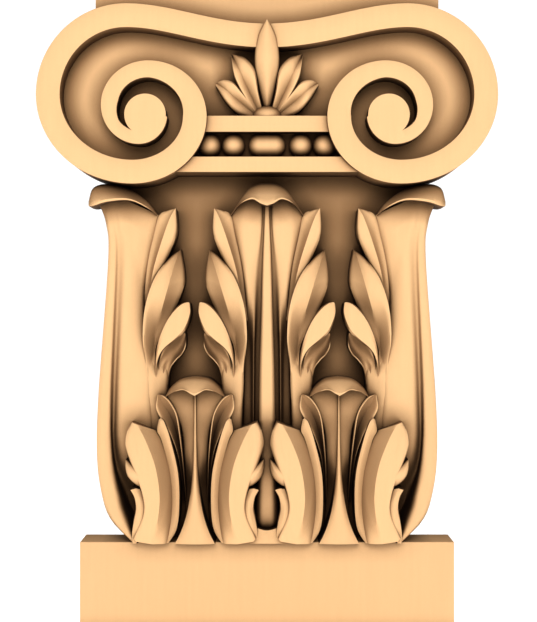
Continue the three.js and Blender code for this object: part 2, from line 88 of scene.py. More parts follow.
# The quarter turns that the channel's ground fills, those after which the band narrows and tapers,
# and the share of a quarter turn that it tapers over.
GROUND_QUARTERS = 3
NARROWING_QUARTER = 3
TAPERING_QUARTER = 4.9
TAPER_LENGTH = 0.5
EYE = {"x": -77, "z": 332.2, "radius": 13.1}
BEAD_BED = {"half_width": 46, "height": 29}
BAR = {"height": 42, "upper": (321.7, 331.7), "lower": (296.2, 305.8), "upper_half": 44, "lower_half": 60}
BEAD = {"radius": 7.45, "z": 313.7, "height": 33, "first": 21.4, "pitch": 15.2, "count": 2}
REEL_LENGTH = 24
# Where the leaves' axes stand, as x.
CENTRAL_AXIS = 0
CORNER_AXIS = 92.5
LOWER_AXIS = 45.8
# How far a leaf's edges turn down, and how tightly: a soft edge, or a crisp one.
EDGE_ROLL = 1.1
SOFT_EDGE = 12
CRISP_EDGE = 40
# Corners nearer than this, in metres, are one.
TOUCHING = 1e-7
# How finely a leaf, a rib, the band's arcs, a circle and a ball are cut.
LEAF_ROWS = 40
LEAF_COLUMNS = 8
RIB_ROWS = 60
STEM_COLUMNS = 10
ARC_STEPS = 26
EYE_STEPS = 72
BELL_STEPS = 60
BALL_SEGMENTS = 40
BALL_RINGS = 24

# Every leaf is carved over lines that run side by side from root to tip. A line holds the few
# places it passes through, as x from the leaf's axis, z and height. The surface between two lines
# swells by a share of their distance, or hollows where that share is negative.
UPPER_LOBES = [
    dict(
        lines=[
            [(14, 202, 24), (20, 224.5, 30.4), (28.6, 242, 32), (34.6, 258, 32.4), (34.2, 272.6, 31.4)],
            [(14, 202, 26), (19.2, 232, 32.5), (24.6, 251, 33.6), (30.2, 267, 33.4), (33.8, 274, 31.6)],
            [
                (12.4, 202, 26), (15.6, 236, 29.6), (20, 258, 29.8),
                (23.4, 269.8, 30.4), (28.4, 272.6, 30.6), (33.4, 273.9, 30.5),
            ],
        ],
        swell=(0.03, -0.13),
    ),
    dict(
        lines=[
            [
                (20.6, 156, 29.6), (20.8, 172, 30.8), (21.6, 186, 31.3), (30, 202, 30),
                (38.4, 222, 29), (39.4, 233, 29.5), (37.1, 247.2, 31),
            ],
            [
                (18.4, 156, 30), (18.6, 171, 30.5), (19.4, 184, 28.8), (22.6, 200, 29.4),
                (27.8, 218, 35.2), (33.2, 236, 37.6), (37, 247.8, 32.4),
            ],
            [
                (15.6, 156, 30), (14.5, 174, 31.8), (12.9, 192, 34), (14.8, 212, 34.5),
                (21, 230, 34.5), (30, 242, 33), (36.9, 247.4, 31),
            ],
        ],
        swell=(-0.06, -0.02),
    ),
    dict(
        lines=[
            [
                (21.8, 164, 31), (22.2, 174.6, 33), (26, 183, 36.6), (35.3, 190.6, 37.6),
                (40.4, 196, 37.6), (43.8, 206, 37), (43.2, 213, 36.4),
            ],
            [
                (21.4, 164, 31), (21.6, 176, 34), (25, 188, 37.6),
                (32, 199, 38), (39.4, 208, 38), (42.6, 213.6, 36.6),
            ],
            [
                (21, 164, 31), (21, 177, 33), (23.4, 190, 36.4), (28.4, 202, 37.4),
                (34, 209.6, 37.6), (38.4, 213, 37.4), (41.6, 213.7, 36.4),
            ],
        ],
        swell=(0.02, 0.02),
        edge=CRISP_EDGE,
    ),
    dict(
        lines=[
            [
                (28.6, 158, 29.8), (30.3, 170.4, 31.2), (34, 176.4, 32.2),
                (38, 180.4, 32.6), (40.3, 185.5, 33), (40.4, 192, 34),
            ],
            [
                (25.4, 158, 30), (26.6, 172, 31), (30.2, 178.2, 28.4),
                (34, 183.2, 27.4), (37.6, 187.6, 29), (40.2, 193, 34),
            ],
            [
                (22, 158, 30.4), (23, 173.6, 31.8), (26.4, 183.6, 35.4),
                (31.4, 189, 37), (36.4, 192.6, 37.3), (40, 194.4, 36),
            ],
        ],
        swell=(-0.34, -0.34),
        edge=CRISP_EDGE,
    ),
    dict(
        lines=[
            [(30.5, 108, 26), (28.8, 146, 30), (28.9, 159, 30.8), (29, 169, 30.2), (27.4, 181, 26.5)],
            [(23, 108, 29), (22.4, 146, 32), (22.2, 159, 31.8), (21.8, 172, 30.4), (21.4, 188, 26)],
            [(16.6, 108, 28), (15.7, 146, 31), (15.1, 160, 31.6), (14.9, 172, 31), (14.4, 188, 28.5)],
        ],
        swell=(0.03, 0.03),
    ),
]
# The corner leaves' topmost lobe lies a little closer along its inner edge.
CORNER_TOP_LOBE = dict(
    lines=[
        *UPPER_LOBES[0]["lines"][:2],
        [
            (12, 202, 26), (15, 236, 29.6), (19.6, 258, 29.8),
            (23.2, 269.4, 30.6), (28.4, 272.6, 30.6), (33.4, 273.9, 30.5),
        ],
    ],
    swell=(0.03, -0.13),
)
LOWER_LOBES = [
    dict(
        lines=[
            [
                (6.6, 84, 14), (7.6, 110, 28.5), (9.4, 130, 35),
                (11.6, 143, 36.6), (17, 152.4, 37.5), (22.8, 155.2, 36.5),
            ],
            [
                (7.2, 84, 14), (8.4, 110, 29), (10.3, 130, 35.6),
                (12.6, 142.6, 37.2), (17.8, 151.4, 38), (23, 155, 37),
            ],
            [
                (7.8, 84, 13), (9.2, 110, 25.5), (12.4, 129, 29),
                (16.4, 141, 31.2), (20.6, 148.4, 33.6), (23.4, 154.8, 36.4),
            ],
            [
                (8.2, 84, 18), (10.6, 112, 31), (15.6, 128.4, 34.6),
                (21, 138, 36.4), (24.8, 146, 37.6), (24.2, 154.4, 37),
            ],
        ],
        swell=(0.1, -0.1, -0.08),
    ),
    dict(
        lines=[
            [
                (16.8, 60.3, 37), (11.6, 69, 36.6), (9.9, 84, 36.2), (10.7, 105, 36.2),
                (15.6, 126.5, 36.8), (19, 136.8, 37.6), (21, 139.4, 37),
            ],
            [
                (19.2, 60.3, 38), (13.8, 70, 37), (12, 85, 36.6), (13, 106, 36.8),
                (18, 126, 37.4), (21.6, 135.6, 38), (21.8, 139.8, 37.4),
            ],
            [
                (22.9, 60.3, 38), (17.2, 71, 36.6), (15.3, 86, 36), (16.8, 106, 36.2),
                (21.6, 125, 36.8), (24.4, 131.4, 37.4), (23.2, 138.8, 37),
            ],
        ],
        swell=(0.02, 0.02),
        edge=CRISP_EDGE,
    ),
    dict(
        lines=[
            [
                (18.6, 60.3, 40.4), (13.8, 75, 35.2), (12, 90, 32.6),
                (14, 108, 33), (19, 125, 34), (23.8, 131.6, 36.4),
            ],
            [
                (27, 60.3, 41.5), (23.2, 76, 45.4), (21.9, 92, 46.6),
                (24.6, 110, 47), (30.6, 126, 46.4), (36.2, 136.4, 44.6),
            ],
            [(37, 62, 42), (30.5, 80, 45), (31, 97, 46.5), (35, 116, 47), (38.6, 137.4, 45)],
            [
                (39, 64, 41.5), (32.4, 82, 43.5), (34, 95.5, 45), (40.8, 113.4, 45),
                (43.6, 123, 45), (42.7, 131.4, 45), (39.9, 137.8, 43.5),
            ],
        ],
        swell=(0, 0.02, 0.04),
    ),
    dict(
        lines=[
            [(29, 104, 46), (34, 107.6, 46), (39, 110.6, 44), (43.6, 114.2, 41)],
            [(28, 99, 46), (36, 102.6, 46.2), (41, 107.4, 45), (43.9, 114, 41.5)],
            [(30, 95.2, 43), (36.8, 97.8, 43), (42, 102.6, 42.6), (43.9, 108, 42), (44.2, 113.8, 40)],
        ],
        swell=(0.06, 0.08),
    ),
    dict(
        lines=[
            [(37, 60.3, 38.6), (35.6, 65, 41), (32.2, 76, 43), (31, 86, 43.5), (34.2, 95.3, 43)],
            [(38.4, 60.3, 38.8), (37.8, 67, 40.8), (35.2, 78, 43.5), (34.4, 88, 44), (37.4, 95.8, 43)],
            [
                (39.8, 60.3, 38.8), (40, 67, 39.8), (38.8, 75.4, 41),
                (37.4, 83, 42), (38.4, 90, 42.5), (41, 94.6, 42),
            ],
        ],
        swell=(0.03, 0.03),
        edge=CRISP_EDGE,
    ),
]
PALMETTE_LEAVES = [
    dict(
        lines=[
            [(7.4, 334, 36), (15, 345, 39.6), (21, 357.4, 41), (22.8, 371, 37)],
            [(5.4, 335, 35), (12.2, 349.6, 38), (17.6, 361, 40), (22.6, 371.6, 35)],
            [
                (2.6, 336, 36), (5.6, 348, 41), (7.6, 360.4, 43),
                (13, 367.8, 41.6), (18.4, 370.8, 39), (22.2, 371.8, 36),
            ],
        ],
        swell=(0.06, 0.1),
    ),
    dict(
        lines=[
            [(8, 331, 35), (18, 333.6, 38), (26.6, 341.6, 40), (32.8, 351.6, 36)],
            [(8, 333.6, 35), (17, 341, 37), (25, 348, 39), (32.4, 353.4, 35)],
            [(7, 336.4, 36), (15.4, 346.4, 40), (21.6, 353.2, 41), (28, 355.2, 39), (31.8, 353.9, 36)],
        ],
        swell=(0.1, 0.08),
    ),
]
PALMETTE_CENTRE = dict(
    edge=[(1.4, 336, 33), (5.2, 350, 38.6), (7.8, 366, 44), (6, 381, 45.6), (0.5, 391.6, 46.5)],
    crest=[(0, 336, 34), (0, 350, 41.5), (0, 366, 48.2), (0, 381, 48.8), (0, 392, 47.2)],
)
PALMETTE_BUTTON = {"z": 331.7, "half_width": 9.5, "radius": 7.4, "height": 34}

# Curled lips, from their outer end in to their middle: along the crown, then along the brim.
UPPER_LIP = dict(
    lines=[
        [(23.3, 269.9, 30.5), (18.6, 277, 33), (12.2, 285.8, 33.5), (5.8, 289.4, 33.5), (0, 290, 33.5)],
        [(22.9, 269.2, 31.5), (17, 276.2, 39), (9.6, 279, 43.5), (4.2, 276.3, 44.5), (0, 274.8, 45)],
    ],
    swell=(0.05,),
    edge=CRISP_EDGE,
)
LOWER_LIP = dict(
    lines=[
        [(19, 153.8, 37), (15.6, 159.4, 37), (9, 164.6, 37.5), (0, 166, 37.5)],
        [(18.6, 153.4, 38.5), (12.6, 157, 44.5), (7, 158.2, 46.5), (2.6, 156, 47), (0, 154.6, 47.5)],
    ],
    swell=(0.08,),
    edge=CRISP_EDGE,
)
CORNER_LIP = dict(
    lines=[
        [
            (70.4, 270, 30.5), (77, 278.4, 32), (88, 286, 33),
            (102, 289.4, 34), (111.4, 287, 32), (114.8, 279, 28),
        ],
        [
            (70.8, 269.3, 31.5), (77, 274.2, 38), (87.5, 278.3, 43),
            (101, 277.4, 43.5), (110.4, 275, 40), (114.4, 275.4, 31),
        ],
    ],
    swell=(0.06,),
    edge=CRISP_EDGE,
)

UPPER_MIDRIB = dict(
    edge=[
        (0.8, 67.6, 26), (6, 71.6, 31), (6.8, 84, 33), (5.7, 110, 33.4), (5.2, 148, 31.6),
        (4.9, 172, 30.4), (3.9, 206, 30), (2.9, 245, 29.8), (1.4, 276, 29.6),
    ],
    crest=[
        (0, 67.4, 29), (0, 72, 34), (0, 84, 36.4), (0, 110, 36.8), (0, 148, 34),
        (0, 172, 32.4), (0, 206, 31.4), (0, 245, 31), (0, 277, 30.2),
    ],
    shoulder=(0.62, 0.86),
)
LOWER_MIDRIB = dict(top=157, bottom=60, head=0.6, foot=13, spread=0.052, heights=(36.5, 37, 42), fall=2)
UPPER_BODY = dict(
    lines=[
        [
            (0.4, 110, 20), (0.4, 176, 20.5), (0.4, 196, 22), (0.4, 214, 25),
            (0.4, 236, 27.6), (0.4, 262, 28.6), (0.4, 284, 26),
        ],
        [
            (7.4, 110, 20), (7, 176, 21), (6.2, 196, 22.8), (5.4, 214, 25.8),
            (4.2, 236, 28.3), (2.8, 262, 29.4), (2.4, 284, 26),
        ],
        [
            (8.9, 110, 24), (8.6, 176, 24.6), (8.4, 196, 26.4), (8, 214, 28.5),
            (7.3, 236, 30.1), (5, 262, 31), (5, 284, 27.5),
        ],
        [
            (11, 110, 20), (11, 176, 20.5), (11.6, 196, 23), (11.8, 214, 29),
            (13, 236, 31.2), (15.4, 262, 31.9), (14, 279, 29.4),
        ],
        [
            (16, 110, 19), (14.8, 176, 19.5), (14.4, 196, 20.6), (13.6, 214, 28),
            (16.2, 236, 30), (21, 258, 29.8), (23, 269.6, 29.6),
        ],
    ],
)
LOWER_BODY = dict(
    lines=[
        [(0, 62, 14), (0, 90, 19), (0, 104, 28.6), (0, 115, 31), (0, 135, 33), (0, 159, 34)],
        [(4, 62, 12), (3.4, 90, 17), (3.4, 104, 26.6), (3.6, 115, 30.4), (5, 135, 31), (8.6, 160, 33)],
        [
            (9, 62, 12), (7.2, 90, 14), (7.2, 104, 22),
            (7.6, 115, 27.6), (9.8, 135, 30), (18.6, 153.6, 35.5),
        ],
    ],
)
FOOT_WEB = dict(
    lines=[
        [(-20, 60.3, 38.6), (-20, 72, 38.6)],
        [(-9, 60.3, 39.4), (-9, 70.8, 39.2)],
        [(0, 60.3, 39.6), (0, 68.6, 39)],
        [(9, 60.3, 39.4), (9, 70.8, 39.2)],
        [(20, 60.3, 38.6), (20, 72, 38.6)],
    ],
)
# The bell behind the leaves, up its right side.
BELL_SIDE = [(84, 60.3), (97.5, 72.5), (110.4, 117), (106, 195), (101.4, 246), (107, 276)]
BELL_TOP = {"half_width": 90, "z": 300}
# A corner leaf's body, from its rolled outer band over a groove to its first lobe, foot to lip.
CORNER_BODY = dict(
    lines=[
        [
            (85.4, 60.3, 36), (100.2, 74, 30.4), (106.2, 90, 29.6), (109.4, 115, 29.4),
            (108.4, 155, 29.4), (102.2, 240, 29.4), (103.6, 264, 28.4), (108.8, 278, 26),
        ],
        [
            (84.6, 60.3, 37.8), (96.4, 73.4, 34.4), (102.2, 89, 32.4), (105.4, 115, 31.4),
            (105.2, 155, 31.4), (100.4, 240, 31), (101.8, 264, 30.6), (105, 279, 28),
        ],
        [
            (84, 60.3, 38.6), (88.4, 73, 34.6), (94, 88.6, 31.8), (99.4, 115, 31),
            (100.8, 155, 31.2), (97.4, 240, 31.2), (99, 263, 31), (102, 280, 29),
        ],
        [
            (83.3, 60.3, 38), (86.4, 73, 14), (92.8, 89, 11), (98.6, 115, 23),
            (98.2, 155, 28), (94.8, 240, 30.2), (96.4, 262, 31), (99, 280, 29.4),
        ],
        [
            (82.6, 60.3, 37.4), (82.8, 73, 10), (84.6, 89, 9.4), (91.6, 115, 28),
            (92.6, 155, 31.4), (89, 240, 31.7), (91, 262, 31.8), (93, 280, 29.4),
        ],
        [
            (82, 60.3, 36), (76, 73, 9), (75, 89, 9.4), (74, 115, 29),
            (74, 155, 32), (78.9, 214, 28.8), (75.4, 243, 29.6), (69.4, 269.6, 29.6),
        ],
    ],
    edge=CRISP_EDGE,
)

SMOOTH_ANGLE = math.radians(38)
SHAFT_EASE = 0.4
SHAFT_EASE_STEPS = 3
WOOD_DARK = (0.765, 0.464, 0.228)
WOOD_LIGHT = (0.805, 0.491, 0.243)
WOOD_TONE_RANGE = (0.3, 0.7)
WOOD_ROUGHNESS = 0.85
WOOD_SHINE = 0.08
GRAIN = {"scale": 420, "detail": 4}
GRAIN_STRETCH = 0.08
PORES = {"scale": 1500, "detail": 2}
PORE_SHARE = 0.5
TOOTH_STRENGTH = 0.12
TOOTH_DEPTH = 0.0002
# The shaft's copy of the wood is painted this much darker than the carving's: painted shade, the same wood
# less lit.
SHAFT_SHADE = 0.98
# Painted shade darkens the wood's colour where shade would fall: in hollows within a reach, on the low
# ground and on steep sides that don't look up, while faces that look up count as lit. It is left off the
# outer sides and the back, which lie open.
OPEN_REACH = 0.045
OPEN_RANGE = (0.9, 0.99)
HOLLOW_SHADE_REACH = 0.0145
HOLLOW_SHADE_DEPTH = 1.9
SHAFT_HOLLOW_SHADE_DEPTH = 0.7
LOW_GROUND_SHADE = 0.52
UNSHADED_HEIGHT = 29
STEEP_RANGE = (0.1, 1)
STEEP_SIDE_SHADE = 0.15
UPWARD_SHARE = 0.45
HOLLOW_SAMPLES = 12
# Colours of the painted shade, from deepest shade to none, multiplied into the wood's tone.
PAINTED_SHADE_RAMP = ((0.02, 0.011, 0.005, 1), (0.42, 0.375, 0.34, 1), (1, 1, 1, 1))
PAINTED_SHADE_MIDDLE = 0.45

CAMERA_DISTANCE = 0.8976
CAMERA_RISE = 0.2081
CAMERA_SIDE = 0.00095
SENSOR_WIDTH = 36
FOCAL_SHARE = 1400 / 622
FLOOR_REACH = 2.5
FLOOR_TONE = (0.93, 0.93, 0.93, 1)
FLOOR_ROUGHNESS = 0.9
SURROUND = 0.15
SEEN_SURROUND = 1.1
LAMP_DISTANCE = 3
LAMP_SIZE = 1.6
LAMP_RISE = math.radians(20)
LAMP_WATTS = 77
LAMP_TINT = (1, 0.985, 0.96)
FLOOR_WATTS = 520
FLOOR_LIGHT_SIZE = 12
FLOOR_LIGHT_RISE = 3


def lerp(a, b, t):
    return a + (b - a) * t


def along(heights, u):
    """A height between a start, a middle pull and an end."""
    start, middle, end = heights
    return (1 - u) ** 2 * start + 2 * u * (1 - u) * middle + u ** 2 * end


def spline(points, u):
    """A place on the smooth curve through a few points, as a cubic between neighbours."""
    reach = u * (len(points) - 1)
    i = min(int(reach), len(points) - 2)
    t = reach - i
    p0, p1 = Vector(points[max(i - 1, 0)]), Vector(points[i])
    p2, p3 = Vector(points[i + 1]), Vector(points[min(i + 2, len(points) - 1)])
    return (p1 + (p2 - p0) * 0.5 * t + (p0 - 2.5 * p1 + 2 * p2 - 0.5 * p3) * t ** 2
            + (1.5 * (p1 - p2) + 0.5 * (p3 - p0)) * t ** 3)


def piece_from(name, vertices, faces):
    """A closed mesh object whose faces point outwards."""
    mesh = bpy.data.meshes.new(name)
    mesh.from_pydata([(x * MM, (y + BACK) * MM, z * MM) for x, y, z in vertices], [], faces)
    work = bmesh.new()
    work.from_mesh(mesh)
    bmesh.ops.remove_doubles(work, verts=work.verts, dist=TOUCHING)
    bmesh.ops.recalc_face_normals(work, faces=work.faces)
    work.to_mesh(mesh)
    work.free()
    piece = bpy.data.objects.new(name, mesh)
    bpy.context.scene.collection.objects.link(piece)
    return piece


def carved(name, surface, rows, columns, even=False):
    """A closed piece under a carved surface: surface(u, v) gives x, z and a height. The rows close up
    towards the far end of u, where a leaf rounds into its tip, unless they are even."""
    stride = columns + 1
    face, under = [], []
    for i in range(rows + 1):
        u = i / rows if even else math.sin(math.pi / 2 * i / rows)
        for j in range(stride):
            x, z, height = surface(u, j / columns)
            face.append((x, -height, z))
            under.append((x, -FLOOR_HEIGHT, z))
    below = len(face)
    faces = []
    for i in range(rows):
        for j in range(columns):
            a = i * stride + j
            ring = (a, a + 1, a + stride + 1, a + stride)
            faces.append(ring)
            faces.append(tuple(below + k for k in reversed(ring)))
    border = list(range(stride))
    border += [i * stride + columns for i in range(1, rows + 1)]
    border += [rows * stride + j for j in range(columns - 1, -1, -1)]
    border += [i * stride for i in range(rows - 1, 0, -1)]
    for a, b in zip(border, border[1:] + border[:1]):
        faces.append((b, a, below + a, below + b))
    return piece_from(name, face + under, faces)


def raised(name, outline, bottom, top):
    """A flat outline in x and z, raised from one height to another."""
    count = len(outline)
    vertices = [(x, -bottom, z) for x, z in outline] + [(x, -top, z) for x, z in outline]
    faces = [tuple(range(count)), tuple(range(2 * count - 1, count - 1, -1))]
    faces += [(i, (i + 1) % count, count + (i + 1) % count, count + i) for i in range(count)]
    return piece_from(name, vertices, faces)


def block(name, half, bottom, top, height):
    """A plain block, as wide to the left as to the right."""
    return raised(name, [(-half, bottom), (half, bottom), (half, top), (-half, top)], 0, height)


def mirrored(line):
    return [(-x, z, height) for x, z, height in line]


def leafed(name, shape, axis, side, rows=LEAF_ROWS):
    """A piece carved over its lines. With a swell each line is a crease or a ridge; without one the
    surface flows across them. Both edges turn down a little, more tightly where its edge says so."""
    tightness = shape.get("edge", SOFT_EDGE)
    lines = shape["lines"]
    gaps = len(lines) - 1

    def surface(u, v):
        places = [spline(line, u) for line in lines]
        if "swell" in shape:
            gap = min(int(v * gaps), gaps - 1)
            t = v * gaps - gap
            place = places[gap].lerp(places[gap + 1], t)
            width = (places[gap + 1] - places[gap]).xy.length
            place.z += shape["swell"][gap] * width * 4 * t * (1 - t)
        else:
            place = spline(places, v)
        return axis + side * place.x, place.y, place.z - EDGE_ROLL * abs(2 * v - 1) ** tightness

    return carved(name, surface, rows, gaps * LEAF_COLUMNS)


def shouldered(edge, crest, out, up):
    """The line of a rib's round shoulder, as shares of the way out to its edge and up to its crest."""
    line = []
    for (x, z, low), (_, _, high) in zip(edge, crest):
        line.append((out * x, z, lerp(low, high, up)))
    return line


def ribbed(name, rib, rows=RIB_ROWS):
    """A rib or a leaf on the middle axis, the same to either side, with round shoulders if given."""
    lines = [rib["crest"], rib["edge"]]
    if "shoulder" in rib:
        lines.insert(1, shouldered(rib["edge"], rib["crest"], *rib["shoulder"]))
    lines = [mirrored(line) for line in reversed(lines[1:])] + lines
    return leafed(name, {"lines": lines}, CENTRAL_AXIS, 1, rows)


def stem(name, rib, axis):
    """A lower leaf's midrib, hair-thin under its lip and flaring to its foot."""
    length = rib["top"] - rib["bottom"]

    def surface(u, v):
        across = 2 * v - 1
        grown = math.exp(-rib["spread"] * length * (1 - u))
        half = lerp(rib["head"], rib["foot"], grown)
        fall = min(half, rib["fall"]) * across ** 2
        return axis + half * across, rib["top"] - length * u, along(rib["heights"], u) - fall

    return carved(name, surface, RIB_ROWS, STEM_COLUMNS)


def band_rail():
    """The outer edge of the left half of the band, with its heading and turn at each place: a swept
    bridge to its crest, then the scroll's quarter turns."""
    dip, crest = Vector((MIDDLE_OVERLAP, BAND_DIP)), Vector(BAND_CREST)
    pulls = [dip, Vector((BRIDGE_PULLS[0], dip.y)), Vector((BRIDGE_PULLS[1], crest.y)), crest]
    rail = []
    for i in range(ARC_STEPS):
        t = i / ARC_STEPS
        s = 1 - t
        point = pulls[0] * s ** 3 + pulls[1] * 3 * s * s * t + pulls[2] * 3 * s * t * t + pulls[3] * t ** 3
        legs = [after - before for before, after in zip(pulls, pulls[1:])]
        slope = legs[0] * s * s + legs[1] * 2 * s * t + legs[2] * t * t
        rail.append((point, slope.normalized(), -1))
    at, heading = crest, Vector((-1, 0))
    for turn, (across, up) in enumerate(SCROLL_QUARTERS):
        inward = Vector((-heading.y, heading.x))
        ahead, aside = (across, up) if turn % 2 == 0 else (up, across)
        for i in range(ARC_STEPS):
            angle = math.pi / 2 * i / ARC_STEPS
            point = at + heading * ahead * math.sin(angle) + inward * aside * (1 - math.cos(angle))
            slope = heading * ahead * math.cos(angle) + inward * aside * math.sin(angle)
            rail.append((point, slope.normalized(), turn + i / ARC_STEPS))
        at = at + heading * ahead + inward * aside
        heading = inward
    return rail


def band_width(turn):
    """The band's width, which narrows inside the scroll and tapers at its end."""
    narrowed = min(max(turn - NARROWING_QUARTER, 0), 1)
    tapered = min(max((turn - TAPERING_QUARTER) / TAPER_LENGTH, 0), 1)
    return lerp(lerp(BAND["width"], BAND["inner_width"], narrowed), BAND["end_width"], tapered)


def volute_side(side):
    """One side of the volutes: the channel's ground, the band with its eased edges, and the eye."""
    rail = band_rail()
    # An eased edge lies in from the wall and down from the face by these.
    middle = BAND_EASE * BAND_EASE_MIDDLE
    eased = ((0, BAND_EASE), (middle, middle), (BAND_EASE, 0))
    last = 2 * len(eased) - 1

    def surface(u, v):
        point, heading, turn = rail[round(u * (len(rail) - 1))]
        inward = Vector((-heading.y, heading.x))
        step = round(v * last)
        inset, drop = eased[min(step, last - step)]
        place = point + inward * (inset if v < 0.5 else band_width(turn) - inset)
        return side * place.x, place.y, BAND["height"] - drop

    band = carved("volute band", surface, len(rail) - 1, last, even=True)
    ground = [(side * point.x, point.y) for point, _, turn in rail if turn < GROUND_QUARTERS]
    ground.append((side * MIDDLE_OVERLAP, BAR["upper"][0]))
    pad = raised("volute ground", ground, 0, CHANNEL_HEIGHT)
    outline = []
    for i in range(EYE_STEPS):
        angle = 2 * math.pi * i / EYE_STEPS
        outline.append((side * (EYE["x"] + EYE["radius"] * math.cos(angle)),
                        EYE["z"] + EYE["radius"] * math.sin(angle)))
    eye = raised("volute eye", outline, FLOOR_HEIGHT, BAND["height"])
    return [pad, band, eye]


def leaf_pieces():
    """The tall central leaf, the two corner leaves and the two short leaves between them."""
    pieces = [ribbed("central midrib", UPPER_MIDRIB), leafed("foot web", FOOT_WEB, CENTRAL_AXIS, 1)]
    for side in (-1, 1):
        corner = side * CORNER_AXIS
        pieces.append(leafed("central body", UPPER_BODY, CENTRAL_AXIS, side))
        for i, shape in enumerate(UPPER_LOBES):
            pieces.append(leafed("central lobe", shape, CENTRAL_AXIS, side))
            pieces.append(leafed("corner lobe", shape if i else CORNER_TOP_LOBE, corner, -side))
        pieces.append(leafed("central lip", UPPER_LIP, CENTRAL_AXIS, side))
        pieces.append(leafed("corner body", CORNER_BODY, CENTRAL_AXIS, side))
        pieces.append(leafed("corner lip", CORNER_LIP, CENTRAL_AXIS, side))
        lower = side * LOWER_AXIS
        pieces.append(stem("lower midrib", LOWER_MIDRIB, lower))
        for hand in (-1, 1):
            pieces += [leafed("lower lobe", shape, lower, hand) for shape in LOWER_LOBES]
            pieces.append(leafed("lower body", LOWER_BODY, lower, hand))
            pieces.append(leafed("lower lip", LOWER_LIP, lower, hand))
    return pieces


def palmette_button():
    """The round button, wider than it is high, that the palmette's leaves spring from."""
    size = PALMETTE_BUTTON
    ball = bmesh.new()
    bmesh.ops.create_uvsphere(ball, u_segments=BALL_SEGMENTS, v_segments=BALL_RINGS, radius=size["radius"])
    stretch = size["half_width"] / size["radius"]
    vertices = []
    for vertex in ball.verts:
        x, y, z = vertex.co
        vertices.append((x * stretch, y - size["height"], z + size["z"]))
    faces = [tuple(vertex.index for vertex in face.verts) for face in ball.faces]
    ball.free()
    return piece_from("palmette button", vertices, faces)


def palmette_pieces():
    pieces = [ribbed("palmette leaf", PALMETTE_CENTRE, LEAF_ROWS)]
    for side in (-1, 1):
        pieces += [leafed("palmette leaf", shape, CENTRAL_AXIS, side) for shape in PALMETTE_LEAVES]
    pieces.append(palmette_button())
    return pieces


def bell():
    """The low ground behind the leaves, which flares to its brim."""
    rises = [spline(BELL_SIDE, i / BELL_STEPS) for i in range(BELL_STEPS + 1)]
    right = [(place.x, place.y) for place in rises]
    left = [(-x, z) for x, z in reversed(right)]
    top = [(BELL_TOP["half_width"], BELL_TOP["z"]), (-BELL_TOP["half_width"], BELL_TOP["z"])]
    return raised("bell", right + top + left, 0, GROUND_HEIGHT)


def ground_pieces():
    """What the carving stands on: the slab, the bell, and the two bars with the bed between them."""
    bed = (BAR["lower"][0], BAR["upper"][1])
    return [
        block("slab", SLAB["half_width"], SLAB["bottom"], SLAB_TOP, SLAB["height"]),
        bell(),
        block("bead bed", BEAD_BED["half_width"], *bed, BEAD_BED["height"]),
        block("lower bar", BAR["lower_half"], *BAR["lower"], BAR["height"]),
        block("upper bar", BAR["upper_half"], *BAR["upper"], BAR["height"]),
    ]


def boolean(target, operation, operands):
    """Joins pieces to a target, or trims the target by them, and deletes them."""
    group = bpy.data.collections.new("operands")
    bpy.context.scene.collection.children.link(group)
    for operand in operands:
        group.objects.link(operand)
    step = target.modifiers.new("join", "BOOLEAN")
    step.operation = operation
    step.operand_type = "COLLECTION"
    step.collection = group
    step.solver = "MANIFOLD"
    mesh = bpy.data.meshes.new_from_object(target.evaluated_get(bpy.context.evaluated_depsgraph_get()))
    target.modifiers.remove(step)
    target.data = mesh
    for operand in operands:
        bpy.data.objects.remove(operand)
    bpy.data.collections.remove(group)


def smooth(piece):
    """Soft shading that breaks where the carving turns sharply."""
    piece.data.shade_smooth()
    piece.data.set_sharp_from_angle(angle=SMOOTH_ANGLE)


def build_capital():
    """The whole carving as one closed mesh, cut off flat where it sits on the shaft."""
    pieces = ground_pieces() + volute_side(-1) + volute_side(1) + palmette_pieces() + leaf_pieces()
    carving = pieces[0]
    boolean(carving, "UNION", pieces[1:])
    room = block("room", 2 * SHAFT_HALF, SEAT, 2 * SLAB_TOP, 2 * SHAFT_HALF)
    boolean(carving, "INTERSECT", [room])
    carving.name = "carved_capital"
    smooth(carving)
    return carving


def build_shaft():
    """The plain top of the shaft, with its edges just eased."""
    shaft = block("shaft_top", SHAFT_HALF, 0, SHAFT_RISE, SHAFT_HEIGHT)
    work = bmesh.new()
    work.from_mesh(shaft.data)
    bmesh.ops.bevel(work, geom=work.edges, offset=SHAFT_EASE * MM, segments=SHAFT_EASE_STEPS, profile=0.5,
                    affect="EDGES")
    work.to_mesh(shaft.data)
    work.free()
    smooth(shaft)
    return shaft


